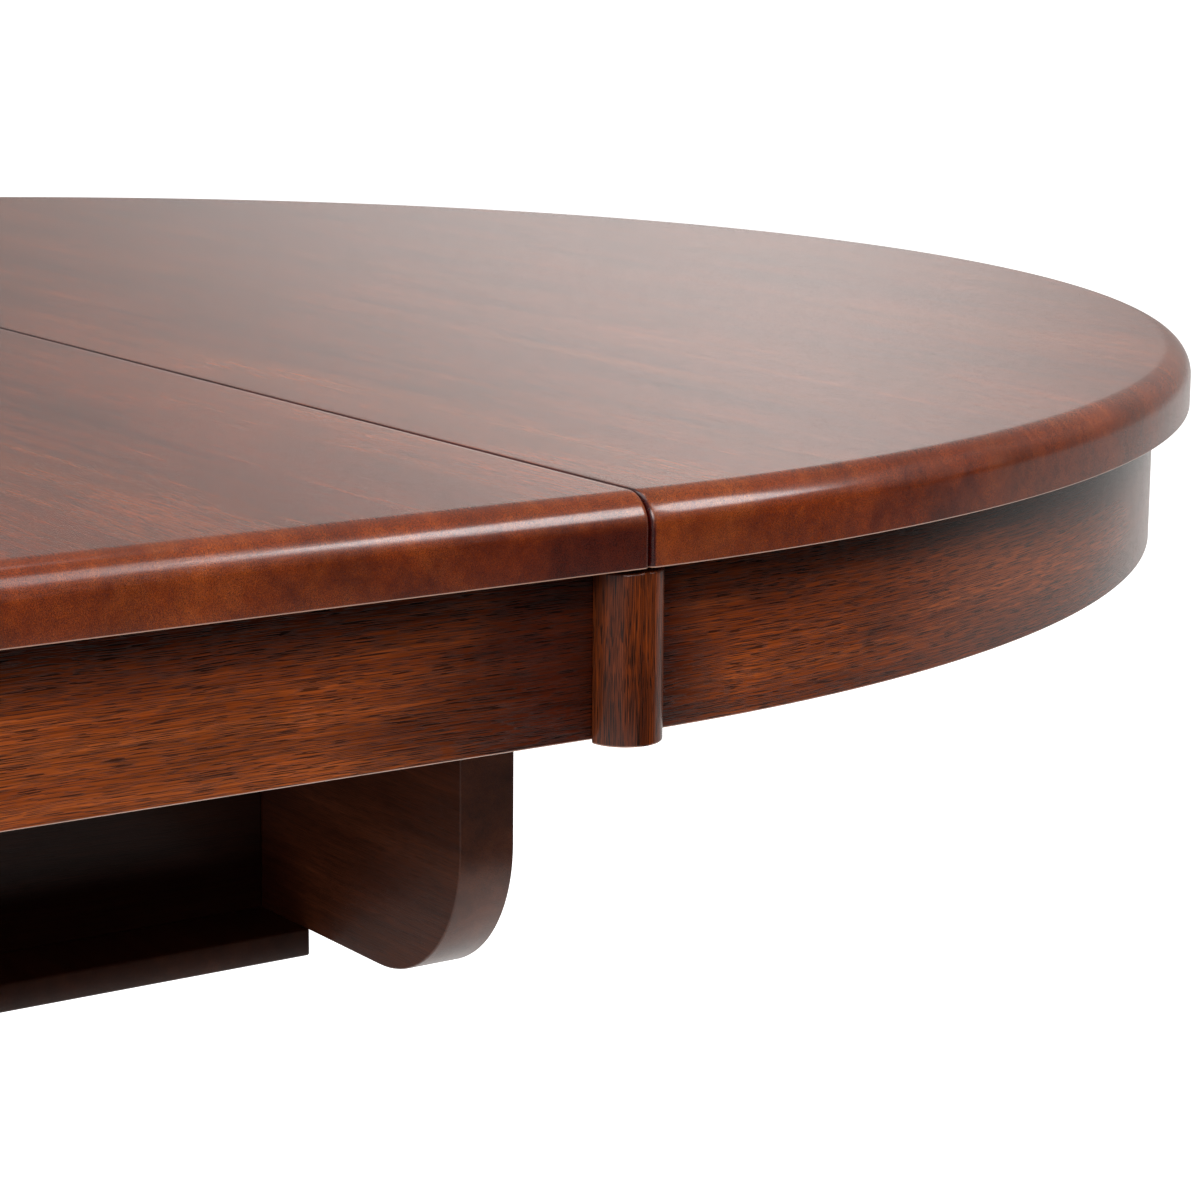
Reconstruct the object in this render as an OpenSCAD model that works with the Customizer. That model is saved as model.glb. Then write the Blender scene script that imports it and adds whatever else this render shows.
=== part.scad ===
// Round pedestal extension table with one leaf in place.
// Millimetres, +Z up. The origin is on the floor under the middle of the pedestal,
// +X points along the extended table, and the front of the table faces -Y.
// The model is drawn with the leaf in place and both half tops closed against it.

/* [Top] */
// Height of the upper surface above the floor
table_height = 762; // [740:1:780]
// Radius of the half-round ends, and half the width of the leaf
top_radius = 610; // [600:1:620]
// Distance between the two half tops, which the leaf fills
leaf_length = 457; // [440:1:480]
// Thickness of the half tops and the leaf
top_thickness = 26.7; // [24:0.1:30]
// Radius of the round-over along the upper edge
edge_radius = 12.7; // [8:0.1:14]

/* [Apron] */
// How far the apron's face stands in from the edge of the top
apron_inset = 16.7; // [15:0.1:25]
// Height of the apron below the top
apron_height = 64; // [56:1:70]
// Thickness of the apron
apron_thickness = 20; // [16:1:24]
// Width of the half-round posts that cover the seams
post_width = 28; // [20:1:30]
// Length of the seam posts
post_length = 63.5; // [50:0.5:66]

/* [Slides] */
// How far each half top pulls out beyond the leaf
slide_travel = 76; // [40:1:76]
// Height of the slide rails
rail_height = 45; // [40:1:48]
// Thickness of each moving rail
rail_thickness = 22; // [18:1:24]
// Distance of the fixed rails from the long centre line
rail_offset = 182; // [170:1:200]
// Tooth module of the rack and pinion
gear_module = 3; // [3:0.5:3.5]
// Number of teeth on the pinion
pinion_teeth = 16; // [12:4:16]

/* [Underframe] */
// Height of the cross boards and side boards
board_height = 157; // [130:1:170]
// Thickness of the cross boards
cross_thickness = 25.4; // [20:0.1:28]
// Length of the cross boards
cross_length = 936; // [800:2:960]
// Radius of the lower corners of the cross boards
corner_radius = 62.5; // [30:0.5:70]
// Width over the two side boards
box_width = 616; // [560:2:640]

/* [Pedestal] */
// Distance from the middle of the pedestal to the toes
foot_reach = 430; // [400:5:460]
// Thickness of each foot
foot_thickness = 46; // [36:1:56]
// Radius of the round hub that carries the feet
hub_radius = 66; // [60:1:75]

/* [Hidden] */
$fn = 96;

TOP_WOOD = "#5a2a1c";
APRON_WOOD = "#6b3420";
FRAME_WOOD = "#4a2618";
RAIL_WOOD = "#b98a58";
STEEL = "#9a9ea3";
BRASS = "#b08d4a";

// Running clearance between pieces that pass each other
gap = 0.5;
// Radial clearance of a pin that turns in a bore
fit = 0.08;
// Width of the open joint between the leaf and each half top
seam_gap = 0.6;
// Size of the eased lower arrises
ease = 1;

half_leaf = leaf_length / 2;
leaf_end = half_leaf - seam_gap;
top_under = table_height - top_thickness;
apron_outer = top_radius - apron_inset;
apron_inner = apron_outer - apron_thickness;
apron_bottom = top_under - apron_height;
post_radius = post_width / 2;
post_drop = 1.9;
post_bottom = top_under - post_drop - post_length;

block_size = 18;
block_length = 50;
block_angles = [-72, -36, 0, 36, 72];

pin_radius = 4;
pin_length = 24;
pin_places = [-440, -150, 150, 440];
pin_height = top_under + top_thickness / 2;

rail_bottom = top_under - rail_height;
fixed_thickness = 24;
fixed_half_length = 312;
moving_inner_end = 60;
moving_outer_end = 730;
tongue_depth = 7.5;
tongue_height = 11;
tongue_length = 160;
tongue_middle = rail_bottom + rail_height / 2;
// Middles of the rail that lies outside and the rail that lies inside the fixed rail
outer_rail_y = rail_offset + fixed_thickness / 2 + gap + rail_thickness / 2;
inner_rail_y = rail_offset - fixed_thickness / 2 - gap - rail_thickness / 2;
moving_rail_bottom = rail_bottom + 2;
spreader_x = 600;
spreader_width = 40;
spreader_height = 34;

pitch_radius = gear_module * pinion_teeth / 2;
pressure_angle = 20;
backlash = 0.5;
addendum = 0.85 * gear_module;
dedendum = 1.25 * gear_module;
base_radius = pitch_radius * cos(pressure_angle);
gear_bottom = top_under - 28;
gear_thickness = 13;
rack_back = 10;
rack_inner_end = -100;
rack_foot = [240, 300];
axle_radius = 6;
axle_cap = 4;
bridge_thickness = 22;
bridge_width = 90;
guide_thickness = 10;

lock_y = 380;
lock_back = 32;
stud_distance = 50;
stud_radius = 4;
lever_thickness = 4;
lever_top = top_under - 5.5;
lock_turn = 65;
lever_eye = 12;
hook_width = 8;
hook_clearance = 1.2;
arm_width = 10;
pivot_plate_radius = 18;
washer_radius = 7;
washer_thickness = 3;
keeper_plate = [34, 40, 3];
keeper_plate_inset = 14;
finger_back = 29;
finger_tip = 12;
arm_angle = -22;
handle_angle = 200;
handle_width = 12;
handle_length = 62;

cross_inner = half_leaf + 10;
box_bottom = rail_bottom - board_height;
side_thickness = 20;
panel_thickness = 12;
panel_width = 692;
cleat_size = 20;

column_plate_size = 290;
column_plate_thickness = 25;
column_plate_bottom = box_bottom - panel_thickness - column_plate_thickness;
tenon_radius = 30;
hub_bottom = 112;
hub_top = 246;
glide_height = 4;
glide_radius = 16;
foot_angles = [45, 135, 225, 315];
dowel_radius = 7;
dowel_heights = [160, 212];
dowel_inner = 36;
dowel_outer = 108;
bolt_place = 108;

screw_radius = 2.5;
head_radius = 5;
head_height = 3;
counterbore_radius = 6;
// Heads and points of the screws: fixed rail, gear bridge, half top rail, bottom panel
fixed_screw_head = top_under - 10;
fixed_screw_tip = rail_bottom - 30;
bridge_screw_head = rail_bottom - bridge_thickness + 6;
bridge_screw_tip = rail_bottom + 16;
rail_screw_head = top_under - 20;
rail_screw_tip = top_under + 15;
rail_screw_places = [300, 480, 690];
panel_screw_head = box_bottom - panel_thickness + 4;
panel_screw_tip = box_bottom + 28;
panel_screw_places = [-180, 0, 180];

bolt_radius = 4;
bolt_hex_radius = 7.5;
bolt_head_height = 5.5;
nut_height = 7;
bolt_end = 5;

// ---------- shared shapes ----------

function bezier(p, t) =
    pow(1 - t, 3) * p[0] + 3 * t * pow(1 - t, 2) * p[1]
    + 3 * t * t * (1 - t) * p[2] + pow(t, 3) * p[3];
function curve(p, steps = 12) = [for (i = [0 : steps]) bezier(p, i / steps)];

// Turns a piece of the right half top round to the left half top
module turned_round() rotate([0, 0, 180]) children();

// Both lines of the table, front and rear
module front_and_rear() for (side = [0, 1]) mirror([0, side, 0]) children();

// The four corners of a rectangle
module at_corners(x, y) for (sx = [-1, 1], sy = [-1, 1]) translate([sx * x, sy * y, 0]) children();

// A section turned half a circle round the middle of the right half top
module half_turn() translate([half_leaf, 0, 0]) rotate([0, 0, -90])
    rotate_extrude(angle = 180, $fn = 240) children();

// A section drawn across Y and carried along X
module along_x(from, to) translate([from, 0, 0]) rotate([90, 0, 90])
    linear_extrude(height = to - from) children();

// Upright screw with its head at the bottom and its point at the top
module screw(head_z, tip_z) {
    translate([0, 0, head_z]) cylinder(r = head_radius, h = head_height);
    translate([0, 0, head_z]) cylinder(r = screw_radius, h = tip_z - head_z);
}

// Hole for that screw: a counterbore up from start_z, a clear bore, and a pilot bore
module screw_hole(start_z, head_z, tip_z) {
    translate([0, 0, start_z])
        cylinder(r = counterbore_radius, h = head_z + head_height - start_z);
    translate([0, 0, start_z]) cylinder(r = screw_radius + fit, h = tip_z - start_z + gap);
}

// ---------- tops ----------

// Half of the section of the top, from the middle out to the moulded edge
module top_section() {
    polygon([
        [0, 0], [top_radius - ease, 0], [top_radius, ease],
        [top_radius, top_thickness - edge_radius],
        [top_radius - edge_radius, top_thickness], [0, top_thickness],
    ]);
    translate([top_radius - edge_radius, top_thickness - edge_radius]) circle(edge_radius);
}

module pin_row(x, radius, length) for (y = pin_places)
    translate([x - length / 2, y, pin_height]) rotate([0, 90, 0])
        cylinder(r = radius, h = length, $fn = 32);

module half_top(pins_fixed) color(TOP_WOOD) difference() {
    translate([0, 0, top_under]) half_turn() top_section();
    pin_row(half_leaf, pins_fixed ? pin_radius : pin_radius + gap, pin_length + 2 * gap);
    half_rail_screws(true);
}

module leaf_panel() color(TOP_WOOD) difference() {
    translate([0, 0, top_under]) along_x(-leaf_end, leaf_end) {
        top_section();
        mirror([1, 0]) top_section();
    }
    pin_row(half_leaf, pin_radius, pin_length + 2 * gap);
    pin_row(-half_leaf, pin_radius + gap, pin_length + 2 * gap);
}

module alignment_pins_leaf() color(BRASS) pin_row(half_leaf, pin_radius, pin_length);

module alignment_pins_left() color(BRASS) pin_row(-half_leaf, pin_radius, pin_length);

// ---------- aprons, seam posts and glue blocks ----------

module apron_section() polygon([
    [apron_inner, apron_bottom], [apron_outer - ease, apron_bottom],
    [apron_outer, apron_bottom + ease], [apron_outer, top_under], [apron_inner, top_under],
]);

module bent_apron() color(APRON_WOOD) half_turn() apron_section();

module leaf_apron() color(APRON_WOOD) along_x(-leaf_end, leaf_end) mirror([1, 0]) apron_section();

// Round stick on the apron's face at the seam, before its back is cut
module post_stick() translate([0, -apron_outer, post_bottom])
    cylinder(r = post_radius, h = post_length, $fn = 64);

// Block that cuts the back of one half of a post, from the seam toward +X or -X
module post_back(direction, face) translate([0, -face, post_bottom - 1])
    mirror([direction < 0 ? 1 : 0, 0, 0])
        cube([post_radius + 1, post_radius + 1 + face - apron_outer, post_length + 2]);

// Fixed to the bent apron of the right half top, and clear of the leaf's apron
module seam_post_right() color(APRON_WOOD) translate([half_leaf, 0, 0]) difference() {
    post_stick();
    translate([0, 0, post_bottom - 1]) cylinder(r = apron_outer, h = post_length + 2, $fn = 240);
    post_back(-1, apron_outer + gap);
}

// Fixed to the leaf's apron, and clear of the bent apron of the left half top
module seam_post_left() color(APRON_WOOD) translate([-half_leaf, 0, 0]) difference() {
    post_stick();
    post_back(1, apron_outer);
    post_back(-1, apron_outer + gap);
}

module glue_block() translate([-block_length / 2, -apron_inner, top_under - block_size])
    cube([block_length, block_size, block_size]);

module apron_blocks_half() color(FRAME_WOOD) intersection() {
    translate([half_leaf, 0, 0]) for (angle = block_angles)
        rotate([0, 0, 90 + angle]) translate([0, -1.2, 0]) glue_block();
    translate([half_leaf, 0, top_under - block_size])
        cylinder(r = apron_inner, h = block_size, $fn = 240);
}

module apron_blocks_leaf() color(FRAME_WOOD) front_and_rear()
    for (x = [-150, 0, 150]) translate([x, 0, 0]) glue_block();

// ---------- slide rails ----------

module rail_box(from, to, y, bottom, thickness, top)
    translate([from, y - thickness / 2, bottom]) cube([to - from, thickness, top - bottom]);

// Front fixed rail. Its grooves are closed at the outer end, which stops the moving rails.
module fixed_rail() color(RAIL_WOOD) difference() {
    rail_box(-fixed_half_length, fixed_half_length, -rail_offset,
        rail_bottom, fixed_thickness, top_under);
    for (end = [-1, 1]) translate([end * (leaf_end + fixed_half_length) / 2, 0, 0])
        rail_box(-fixed_half_length / 2 + leaf_end / 2, fixed_half_length / 2 - leaf_end / 2,
            -rail_offset, top_under - gap, fixed_thickness + 2, top_under + 1);
    groove(-1);
    turned_groove();
    for (x = [-1, 1]) translate([x * (cross_inner + cross_thickness / 2), -rail_offset, 0])
        fixed_screw_hole();
    for (x = [-1, 1]) translate([x * bridge_width / 4, -rail_offset, 0])
        bridge_screw_hole();
}

// Groove in the outer side of the front fixed rail, for the right half top
module groove(side) {
    stop = moving_inner_end + tongue_length + slide_travel + gap;
    translate([-fixed_half_length - 1,
        -rail_offset + side * (fixed_thickness / 2) - (side > 0 ? tongue_depth + gap : 1),
        tongue_middle - tongue_height / 2 - gap])
        cube([stop + fixed_half_length + 1, tongue_depth + gap + 1, tongue_height + 2 * gap]);
}

// Groove in its inner side, for the left half top
module turned_groove() mirror([1, 0, 0]) groove(1);

// Moving rail of the right half top. The tongue points toward the fixed rail.
module moving_rail(y, tongue_side) color(RAIL_WOOD) difference() {
    union() {
        rail_box(moving_inner_end, moving_outer_end, y,
            moving_rail_bottom, rail_thickness, top_under);
        translate([moving_inner_end,
            y + (tongue_side > 0 ? rail_thickness / 2 - 1 : -rail_thickness / 2 - tongue_depth),
            tongue_middle - tongue_height / 2])
            cube([tongue_length, tongue_depth + 1, tongue_height]);
    }
    rail_box(moving_inner_end - 1, half_leaf, y, top_under - gap, rail_thickness + 2,
        top_under + 1);
    half_rail_screws(true);
}

module half_rail_front() moving_rail(-outer_rail_y, 1);

module half_rail_rear() moving_rail(inner_rail_y, 1);

module rail_spreader() color(RAIL_WOOD)
    translate([spreader_x, -outer_rail_y + rail_thickness / 2, top_under - spreader_height])
        cube([spreader_width, outer_rail_y + inner_rail_y - rail_thickness, spreader_height]);

// ---------- rack and pinion that keeps the two half tops in step ----------

function inv(a) = tan(a) * 180 / PI - a;
// Half the angle of a tooth at radius r
function tooth_angle(r) =
    90 / pinion_teeth - backlash / 2 / pitch_radius * 180 / PI
    + inv(pressure_angle) - inv(acos(min(1, base_radius / r)));
function polar(r, a) = [r * cos(a), r * sin(a)];
flank_radii = [
    pitch_radius - dedendum,
    for (i = [0 : 5]) base_radius + (pitch_radius + addendum - base_radius) * i / 5,
];

module pinion() color(STEEL) translate([0, 0, gear_bottom]) difference() {
    linear_extrude(height = gear_thickness) polygon([
        for (tooth = [0 : pinion_teeth - 1]) each [
            for (r = flank_radii) polar(r, tooth * 360 / pinion_teeth - tooth_angle(r)),
            for (i = [len(flank_radii) - 1 : -1 : 0])
                polar(flank_radii[i], tooth * 360 / pinion_teeth + tooth_angle(flank_radii[i])),
        ]
    ]);
    translate([0, 0, -1]) cylinder(r = axle_radius + fit, h = gear_thickness + 2, $fn = 48);
}

// Rack of the right half top, behind the pinion, with its teeth toward the front
module rack() color(STEEL) {
    pitch = PI * gear_module;
    root = pitch_radius + dedendum;
    tip = pitch_radius - addendum;
    slope = tan(pressure_angle);
    half_root = pitch / 4 - backlash / 2 + dedendum * slope;
    half_tip = pitch / 4 - backlash / 2 - addendum * slope;
    first = ceil(rack_inner_end / pitch) + 0.5;
    last = floor(rack_foot[0] / pitch) - 0.5;
    translate([0, 0, gear_bottom]) linear_extrude(height = gear_thickness) polygon([
        [rack_foot[1], root], [rack_foot[1], root + rack_back],
        [rack_inner_end, root + rack_back], [rack_inner_end, root],
        for (i = [first : last]) each [
            [i * pitch - half_root, root], [i * pitch - half_tip, tip],
            [i * pitch + half_tip, tip], [i * pitch + half_root, root],
        ]
    ]);
    translate([rack_foot[0], root, gear_bottom])
        cube([rack_foot[1] - rack_foot[0], rack_back, top_under - gear_bottom]);
}

module pinion_axle() color(STEEL) translate([0, 0, rail_bottom - bridge_thickness]) {
    up = gear_bottom - rail_bottom;
    cylinder(r = axle_radius, h = bridge_thickness + up + gear_thickness + gap + axle_cap,
        $fn = 48);
    translate([0, 0, bridge_thickness]) cylinder(r = 2 * axle_radius, h = up - gap, $fn = 48);
    translate([0, 0, bridge_thickness + up + gear_thickness + gap])
        cylinder(r = 2 * axle_radius, h = axle_cap, $fn = 48);
}

module gear_bridge() color(RAIL_WOOD) difference() {
    translate([-bridge_width / 2, -rail_offset - fixed_thickness / 2,
        rail_bottom - bridge_thickness])
        cube([bridge_width, 2 * rail_offset + fixed_thickness, bridge_thickness]);
    translate([0, 0, rail_bottom - bridge_thickness - 1])
        cylinder(r = axle_radius, h = bridge_thickness + 2, $fn = 48);
    at_corners(bridge_width / 4, rail_offset) bridge_screw_hole();
}

// Two angles on the bridge that hold the racks against the pinion
module rack_guides() color(BRASS) front_and_rear() {
    back = pitch_radius + dedendum + rack_back + gap;
    shelf = pitch_radius + addendum + 2;
    translate([-bridge_width / 2, shelf, rail_bottom])
        cube([bridge_width, back + guide_thickness - shelf, gear_bottom - rail_bottom - gap]);
    translate([-bridge_width / 2, back, rail_bottom])
        cube([bridge_width, guide_thickness, gear_bottom + gear_thickness - rail_bottom]);
}

// ---------- leaf locks ----------

// Pivot of the front lock at the right seam
module at_lock() translate([half_leaf - lock_back, -lock_y, 0]) children();

// Lever of the front lock at the right seam, turned clear of its stud
module lock_lever() color(STEEL) at_lock() rotate([0, 0, -lock_turn])
    translate([0, 0, lever_top - lever_thickness]) linear_extrude(height = lever_thickness)
        difference() {
            union() {
                circle(lever_eye);
                lever_hook();
                rotate(handle_angle) {
                    translate([0, -handle_width / 2]) square([handle_length, handle_width]);
                    translate([handle_length, 0]) circle(0.75 * handle_width);
                }
            }
            circle(stud_radius + fit);
        }

// Arm with a straight finger across its end, which reaches round the outside of the stud
module lever_hook() {
    inner = stud_distance + stud_radius + hook_clearance;
    arm_length = (inner + hook_width / 2) / cos(arm_angle);
    translate([inner, -finger_back]) square([hook_width, finger_back + finger_tip]);
    rotate(arm_angle) translate([0, -arm_width / 2]) square([arm_length, arm_width]);
}

// Plate and pivot of one lock, under the leaf
module lock_plate() at_lock() {
    washer_bottom = lever_top - lever_thickness - gap - washer_thickness;
    translate([0, 0, lever_top + gap])
        cylinder(r = pivot_plate_radius, h = top_under - lever_top - gap, $fn = 48);
    translate([0, 0, washer_bottom])
        cylinder(r = stud_radius, h = lever_top + gap - washer_bottom, $fn = 48);
    translate([0, 0, washer_bottom])
        cylinder(r = washer_radius, h = washer_thickness, $fn = 48);
}

module lock_plates() color(STEEL) {
    front_and_rear() lock_plate();
    turned_round() front_and_rear() lock_plate();
}

// Plate and stud under the half top, which the lever's hook takes hold of
module lock_keepers() color(STEEL) front_and_rear() at_lock() translate([stud_distance, 0, 0]) {
    stud_bottom = lever_top - lever_thickness - 1;
    translate([-keeper_plate_inset, -keeper_plate[1] / 2, top_under - keeper_plate[2]])
        cube(keeper_plate);
    translate([0, 0, stud_bottom])
        cylinder(r = stud_radius, h = top_under - stud_bottom, $fn = 48);
}

// ---------- underframe ----------

module cross_board() color(FRAME_WOOD) difference() {
    along_x(cross_inner, cross_inner + cross_thickness) {
        translate([-cross_length / 2, box_bottom + corner_radius])
            square([cross_length, board_height - corner_radius]);
        translate([corner_radius - cross_length / 2, box_bottom])
            square([cross_length - 2 * corner_radius, corner_radius]);
        for (side = [-1, 1])
            translate([side * (cross_length / 2 - corner_radius), box_bottom + corner_radius])
                circle(corner_radius);
    }
    front_and_rear() translate([cross_inner + cross_thickness / 2, -rail_offset, 0])
        fixed_screw_hole();
}

module side_board() color(FRAME_WOOD) difference() {
    translate([-cross_inner, -box_width / 2, box_bottom])
        cube([2 * cross_inner, side_thickness, board_height]);
    panel_screw_row() panel_screw_hole();
}

module bottom_panel() color(FRAME_WOOD) difference() {
    translate([-cross_inner, -panel_width / 2, box_bottom - panel_thickness])
        cube([2 * cross_inner, panel_width, panel_thickness]);
    front_and_rear() panel_screw_row() panel_screw_hole();
    at_corners(bolt_place, bolt_place) bolt_hole();
}

module corner_cleats() color(RAIL_WOOD)
    at_corners(cross_inner - cleat_size / 2, box_width / 2 - side_thickness - cleat_size / 2)
        translate([-cleat_size / 2, -cleat_size / 2, box_bottom])
            cube([cleat_size, cleat_size, board_height - 20]);

// ---------- pedestal ----------

module column_plate() color(FRAME_WOOD) difference() {
    translate([-column_plate_size / 2, -column_plate_size / 2, column_plate_bottom])
        cube([column_plate_size, column_plate_size, column_plate_thickness]);
    translate([0, 0, column_plate_bottom - 1])
        cylinder(r = tenon_radius, h = column_plate_thickness + 2);
    at_corners(bolt_place, bolt_place) bolt_hole();
}

// Turned column: hub, bead, vase, collar and spreading head, with a tenon on top
module column() color(TOP_WOOD) difference() {
    rotate_extrude() polygon([
        [0, hub_bottom], [hub_radius - 6, hub_bottom], [hub_radius, hub_bottom + 6],
        [hub_radius, hub_top - 6], [hub_radius - 6, hub_top],
        each curve([[52, 250], [62, 254], [62, 266], [52, 270]], 8),
        each curve([[46, 274], [30, 284], [66, 318], [62, 352]]),
        each curve([[60, 356], [58, 392], [34, 410], [34, 432]]),
        each curve([[44, 436], [52, 438], [52, 450], [44, 452]], 8),
        each curve([[38, 456], [38, 474], [50, 488], [74, 488]]),
        [74, column_plate_bottom], [tenon_radius, column_plate_bottom],
        [tenon_radius, column_plate_bottom + column_plate_thickness],
        [0, column_plate_bottom + column_plate_thickness],
    ]);
    dowels();
}

// Foot that sweeps out and down from the hub along +X
module foot(angle) color(TOP_WOOD) difference() {
    rotate([0, 0, angle]) rotate([90, 0, 0])
        linear_extrude(height = foot_thickness, center = true) polygon([
            [40, 132],
            [40, 238],
            each curve([[hub_radius, 238], [200, 244], [foot_reach - 165, 70], [foot_reach - 6, 46]]),
            [foot_reach, 38],
            [foot_reach, glide_height],
            each curve([[foot_reach - 56, glide_height], [foot_reach - 150, 18],
                [190, 160], [hub_radius, 132]]),
        ]);
    cylinder(r = hub_radius, h = table_height / 2);
    dowels();
}

module dowels() for (angle = foot_angles, z = dowel_heights)
    translate([0, 0, z]) rotate([0, 90, angle]) translate([0, 0, dowel_inner])
        cylinder(r = dowel_radius, h = dowel_outer - dowel_inner, $fn = 32);

module foot_dowels() color(RAIL_WOOD) dowels();

module floor_glides() color("#3a3a3c") for (angle = foot_angles)
    rotate([0, 0, angle]) translate([foot_reach - 30, 0, 0])
        cylinder(r = glide_radius, h = glide_height, $fn = 48);

// ---------- screws and bolts ----------

// Screw that holds a fixed rail down on a cross board, with its head in the rail
module fixed_screw() mirror([0, 0, 1]) screw(-fixed_screw_head, -fixed_screw_tip);

module fixed_screw_hole()
    mirror([0, 0, 1]) screw_hole(-1 - top_under, -fixed_screw_head, -fixed_screw_tip);

module fixed_rail_screws() color(BRASS)
    at_corners(cross_inner + cross_thickness / 2, rail_offset) fixed_screw();

// Screw that holds the gear bridge up against a fixed rail
module bridge_screws() color(BRASS) at_corners(bridge_width / 4, rail_offset)
    screw(bridge_screw_head, bridge_screw_tip);

module bridge_screw_hole()
    screw_hole(rail_bottom - bridge_thickness - 1, bridge_screw_head, bridge_screw_tip);

// Screws that hold the right half top on its two rails
module half_rail_screws(as_holes) color(BRASS)
    for (x = rail_screw_places, y = [-outer_rail_y, inner_rail_y]) translate([x, y, 0])
        if (as_holes) screw_hole(moving_rail_bottom - 1, rail_screw_head, rail_screw_tip);
        else screw(rail_screw_head, rail_screw_tip);

module panel_screw_row() for (x = panel_screw_places)
    translate([x, -(box_width - side_thickness) / 2, 0]) children();

module panel_screws() color(BRASS) front_and_rear() panel_screw_row()
    screw(panel_screw_head, panel_screw_tip);

module panel_screw_hole()
    screw_hole(box_bottom - panel_thickness - 1, panel_screw_head, panel_screw_tip);

module bolt_hole() translate([0, 0, column_plate_bottom - 1])
    cylinder(r = bolt_radius + fit, h = column_plate_thickness + panel_thickness + 2, $fn = 32);

// Bolt through the bottom panel and the column plate, with its head inside the frame
module column_bolts() color(STEEL) at_corners(bolt_place, bolt_place) {
    below = nut_height + bolt_end;
    translate([0, 0, column_plate_bottom - below])
        cylinder(r = bolt_radius, h = column_plate_thickness + panel_thickness + below, $fn = 32);
    translate([0, 0, box_bottom]) cylinder(r = bolt_hex_radius, h = bolt_head_height, $fn = 6);
}

module column_nuts() color(STEEL) at_corners(bolt_place, bolt_place)
    translate([0, 0, column_plate_bottom - nut_height]) difference() {
        cylinder(r = bolt_hex_radius, h = nut_height, $fn = 6);
        translate([0, 0, -1]) cylinder(r = bolt_radius, h = nut_height + 2, $fn = 32);
    }

// ---------- nodes ----------

half_top(false);  // half_top_right
turned_round() half_top(true);  // half_top_left
leaf_panel();
bent_apron();  // bent_apron_right
turned_round() bent_apron();  // bent_apron_left
leaf_apron();  // leaf_apron_front
mirror([0, 1, 0]) leaf_apron();  // leaf_apron_rear
seam_post_right();  // seam_post_right_front
mirror([0, 1, 0]) seam_post_right();  // seam_post_right_rear
seam_post_left();  // seam_post_left_front
mirror([0, 1, 0]) seam_post_left();  // seam_post_left_rear
apron_blocks_half();  // apron_blocks_right
turned_round() apron_blocks_half();  // apron_blocks_left
apron_blocks_leaf();
alignment_pins_leaf();
alignment_pins_left();
fixed_rail();  // fixed_rail_front
turned_round() fixed_rail();  // fixed_rail_rear
half_rail_front();  // right_rail_front
half_rail_rear();  // right_rail_rear
turned_round() half_rail_rear();  // left_rail_front
turned_round() half_rail_front();  // left_rail_rear
rail_spreader();  // rail_spreader_right
turned_round() rail_spreader();  // rail_spreader_left
rack();  // rack_right
turned_round() rack();  // rack_left
pinion();
pinion_axle();
gear_bridge();
rack_guides();
lock_lever();  // lock_lever_right_front
mirror([0, 1, 0]) lock_lever();  // lock_lever_right_rear
mirror([1, 0, 0]) lock_lever();  // lock_lever_left_front
turned_round() lock_lever();  // lock_lever_left_rear
lock_plates();
lock_keepers();  // lock_keepers_right
turned_round() lock_keepers();  // lock_keepers_left
cross_board();  // cross_board_right
turned_round() cross_board();  // cross_board_left
side_board();  // side_board_front
turned_round() side_board();  // side_board_rear
bottom_panel();
corner_cleats();
column_plate();
column();
foot(315);  // foot_right_front
foot(45);  // foot_right_rear
foot(225);  // foot_left_front
foot(135);  // foot_left_rear
foot_dowels();
floor_glides();
column_bolts();
column_nuts();
panel_screws();
bridge_screws();
fixed_rail_screws();
half_rail_screws(false);  // right_rail_screws
turned_round() half_rail_screws(false);  // left_rail_screws
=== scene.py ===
"""Looks for the round pedestal extension table: shaped wood, lacquer, hardware and a plain studio."""

from math import asin, atan2, cos, degrees, hypot, pi, radians, sin, sqrt

import bmesh
import bpy
from mathutils import Matrix, Vector


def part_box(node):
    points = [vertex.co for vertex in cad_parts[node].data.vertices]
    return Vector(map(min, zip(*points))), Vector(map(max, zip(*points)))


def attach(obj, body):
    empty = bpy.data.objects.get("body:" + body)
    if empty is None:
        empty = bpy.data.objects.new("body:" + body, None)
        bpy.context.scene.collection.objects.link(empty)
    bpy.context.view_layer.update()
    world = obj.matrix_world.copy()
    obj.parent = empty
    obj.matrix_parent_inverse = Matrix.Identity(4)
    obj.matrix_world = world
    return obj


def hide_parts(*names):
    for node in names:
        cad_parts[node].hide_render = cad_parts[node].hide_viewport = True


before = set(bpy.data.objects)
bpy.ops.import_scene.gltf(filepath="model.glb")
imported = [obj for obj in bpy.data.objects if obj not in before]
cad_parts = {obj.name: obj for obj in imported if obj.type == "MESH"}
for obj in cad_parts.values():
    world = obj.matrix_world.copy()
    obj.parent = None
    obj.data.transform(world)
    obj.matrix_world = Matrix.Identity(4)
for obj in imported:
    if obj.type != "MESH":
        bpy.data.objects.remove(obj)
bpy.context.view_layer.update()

MM = 0.001

# ---------------------------------------------------------------- measures from the frame

TOP_LO, TOP_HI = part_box("half_top_right")
LEAF_LO, LEAF_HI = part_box("leaf_panel")
APRON_LO, APRON_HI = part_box("bent_apron_right")
LEAF_APRON_LO, LEAF_APRON_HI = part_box("leaf_apron_front")
POST_LO, POST_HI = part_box("seam_post_right_front")
CROSS_LO, CROSS_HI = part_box("cross_board_right")
COLUMN_LO, COLUMN_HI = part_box("column")
FOOT_LO, FOOT_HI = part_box("foot_right_rear")

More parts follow.
